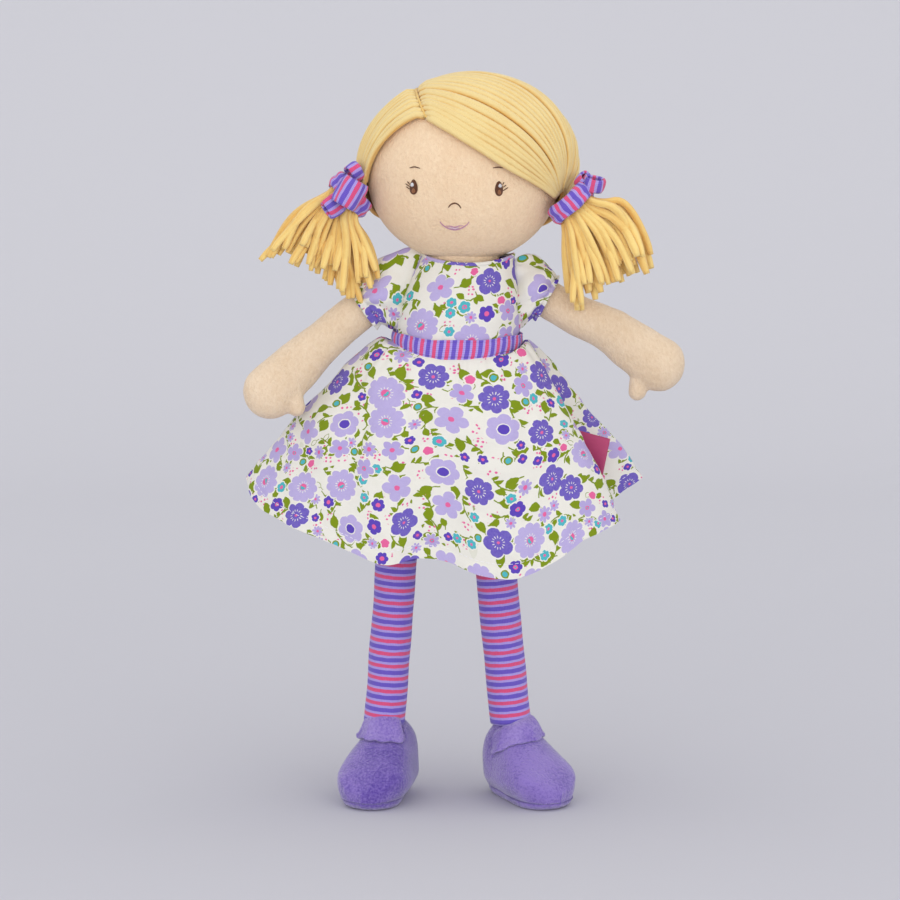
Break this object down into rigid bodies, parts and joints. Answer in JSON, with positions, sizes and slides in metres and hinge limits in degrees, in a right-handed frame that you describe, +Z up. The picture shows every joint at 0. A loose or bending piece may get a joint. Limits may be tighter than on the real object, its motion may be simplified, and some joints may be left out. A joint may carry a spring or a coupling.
{
  "type": "rag doll",
  "caption": "Soft stuffed rag doll with a nodding head, swinging arms and legs, a full skirted dress, shoes, and strip hair tied in two side bunches.",
  "frame": {"origin": "centre of the doll's footprint box, on the floor under its soles", "axes": "+Z up along the doll, -Y the way its face looks, +X towards the doll's own left hand"},
  "size_m": [0.2418, 0.1221, 0.4019],
  "materials": {
    "skin_velour": "matt velour nap",
    "shoe_velour": "matt velour nap",
    "striped_knit": "matt striped jersey",
    "printed_cotton": "matt printed cotton",
    "striped_ribbon": "matt striped ribbon",
    "hair_jersey": "matt jersey",
    "label_satin": "soft satin ribbon"
  },
  "bodies": {
    "torso": {"torso": "skin_velour", "dress_bodice": "printed_cotton", "waistband": "striped_ribbon", "skirt_back": "printed_cotton", "skirt_front": "printed_cotton", "side_label": "label_satin"},
    "neck": {"neck": "skin_velour"},
    "head": {"head": "skin_velour", "hair_right": "hair_jersey", "hair_left": "hair_jersey", "hair_tie_right": "striped_knit", "hair_tie_left": "striped_knit"},
    "bunch_right": {"bunch_right": "hair_jersey"},
    "bunch_left": {"bunch_left": "hair_jersey"},
    "sleeve_right": {"sleeve_right": "printed_cotton"},
    "sleeve_left": {"sleeve_left": "printed_cotton"},
    "arm_right": {"arm_right": "skin_velour"},
    "arm_left": {"arm_left": "skin_velour"},
    "leg_right": {"leg_right": "striped_knit", "shoe_right": "shoe_velour", "sole_right": "shoe_velour", "shoe_flap_right": "shoe_velour"},
    "leg_left": {"leg_left": "striped_knit", "shoe_left": "shoe_velour", "sole_left": "shoe_velour", "shoe_flap_left": "shoe_velour"}
  },
  "joints": [
    {"name": "neck_nod", "type": "hinge", "parent": "torso", "child": "neck", "pos_m": [0, 0.001, 0.2875], "axis": [1, 0, 0], "range_deg": [-18, 18], "deforming": ["dress_bodice", "bunch_right", "bunch_left"]},
    {"name": "head_turn", "type": "hinge", "parent": "neck", "child": "head", "pos_m": [0, 0.001, 0.3], "axis": [0, 0, 1], "range_deg": [-50, 50], "deforming": ["bunch_right", "bunch_left"]},
    {"name": "bunch_swing_right", "type": "hinge", "parent": "head", "child": "bunch_right", "pos_m": [-0.0613, -0.01, 0.3345], "axis": [0, 1, 0], "range_deg": [-15, 15], "deforming": ["bunch_right"]},
    {"name": "bunch_swing_left", "type": "hinge", "parent": "head", "child": "bunch_left", "pos_m": [0.058, -0.018, 0.33], "axis": [0, 1, 0], "range_deg": [-15, 15], "deforming": ["bunch_left"]},
    {"name": "arm_swing_right", "type": "hinge", "parent": "torso", "child": "sleeve_right", "pos_m": [-0.042, 0, 0.281], "axis": [1, 0, 0], "range_deg": [-95, 45], "deforming": ["sleeve_right", "bunch_right", "skirt_front", "skirt_back"]},
    {"name": "arm_raise_right", "type": "hinge", "parent": "sleeve_right", "child": "arm_right", "pos_m": [-0.042, 0, 0.281], "axis": [0, 1, 0], "range_deg": [-25, 50], "deforming": ["sleeve_right", "bunch_right", "skirt_front", "skirt_back"]},
    {"name": "arm_swing_left", "type": "hinge", "parent": "torso", "child": "sleeve_left", "pos_m": [0.04, 0, 0.281], "axis": [1, 0, 0], "range_deg": [-95, 45], "deforming": ["sleeve_left", "bunch_left", "skirt_front", "skirt_back", "side_label"]},
    {"name": "arm_raise_left", "type": "hinge", "parent": "sleeve_left", "child": "arm_left", "pos_m": [0.04, 0, 0.281], "axis": [0, 1, 0], "range_deg": [-40, 35], "deforming": ["sleeve_left", "bunch_left", "skirt_front", "skirt_back", "side_label"]},
    {"name": "leg_swing_right", "type": "hinge", "parent": "torso", "child": "leg_right", "pos_m": [-0.032, 0, 0.2], "axis": [1, 0, 0], "range_deg": [-88, 30], "deforming": ["skirt_front", "skirt_back", "side_label"]},
    {"name": "leg_swing_left", "type": "hinge", "parent": "torso", "child": "leg_left", "pos_m": [0.011, 0, 0.2], "axis": [1, 0, 0], "range_deg": [-88, 30], "deforming": ["skirt_front", "skirt_back", "side_label"]}
  ]
}
